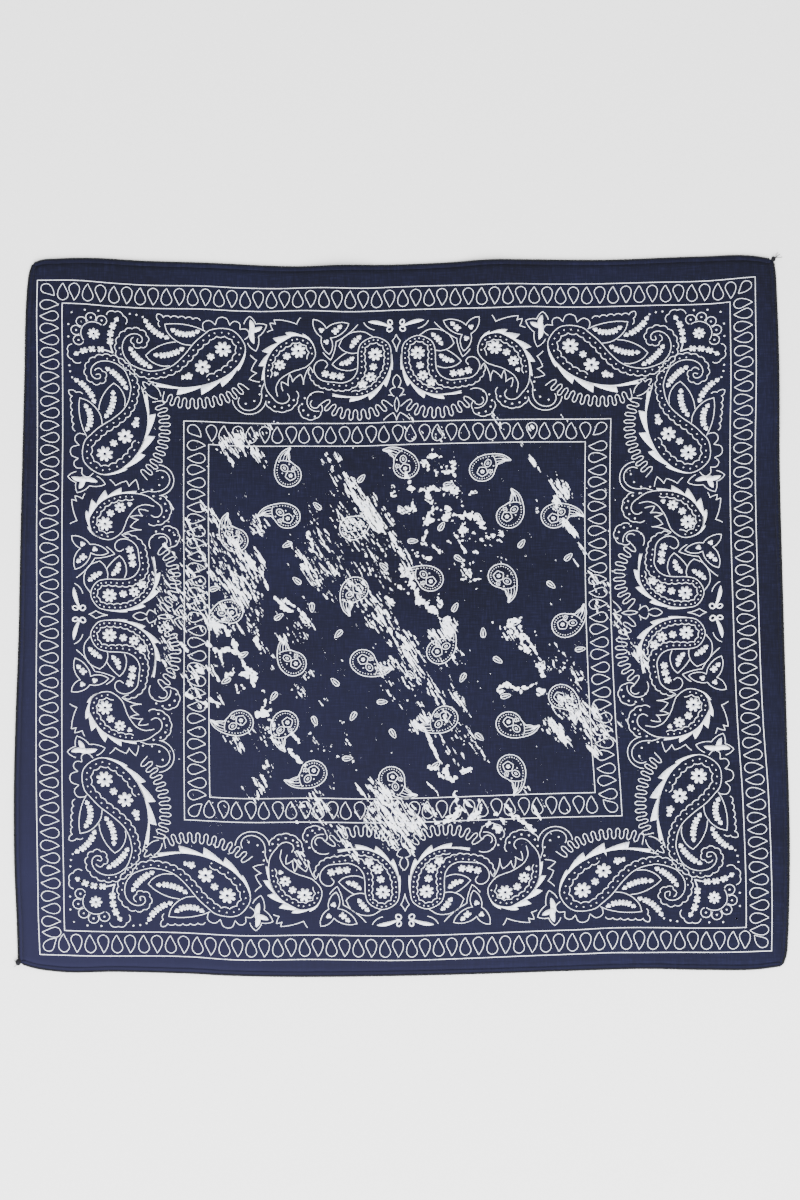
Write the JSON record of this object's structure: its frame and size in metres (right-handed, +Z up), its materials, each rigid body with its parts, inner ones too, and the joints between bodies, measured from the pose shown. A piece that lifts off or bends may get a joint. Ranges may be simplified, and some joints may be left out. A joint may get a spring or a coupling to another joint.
{
  "type": "bandana",
  "caption": "Square navy cotton bandana laid flat, with a white paisley border print, scuffed centre and narrow rolled hems.",
  "frame": {"origin": "under the middle of the cloth's box, on the surface it lies on", "axes": "+Z up from the surface through the cloth, +Y towards the top edge, +X towards the right edge"},
  "size_m": [0.5578, 0.5638, 0.0042],
  "materials": {
    "navy_cotton": "plain-weave cotton, matt navy",
    "hem_thread": "overlocked cotton edge in near-black thread",
    "white_print": "screen-printed white, matt, with the weave showing through"
  },
  "bodies": {
    "root": {"panel": "navy_cotton", "hem_top": "hem_thread", "hem_bottom": "hem_thread", "hem_left": "hem_thread", "hem_right": "hem_thread", "knot_top_right": "hem_thread", "knot_bottom_left": "hem_thread"}
  },
  "joints": []
}
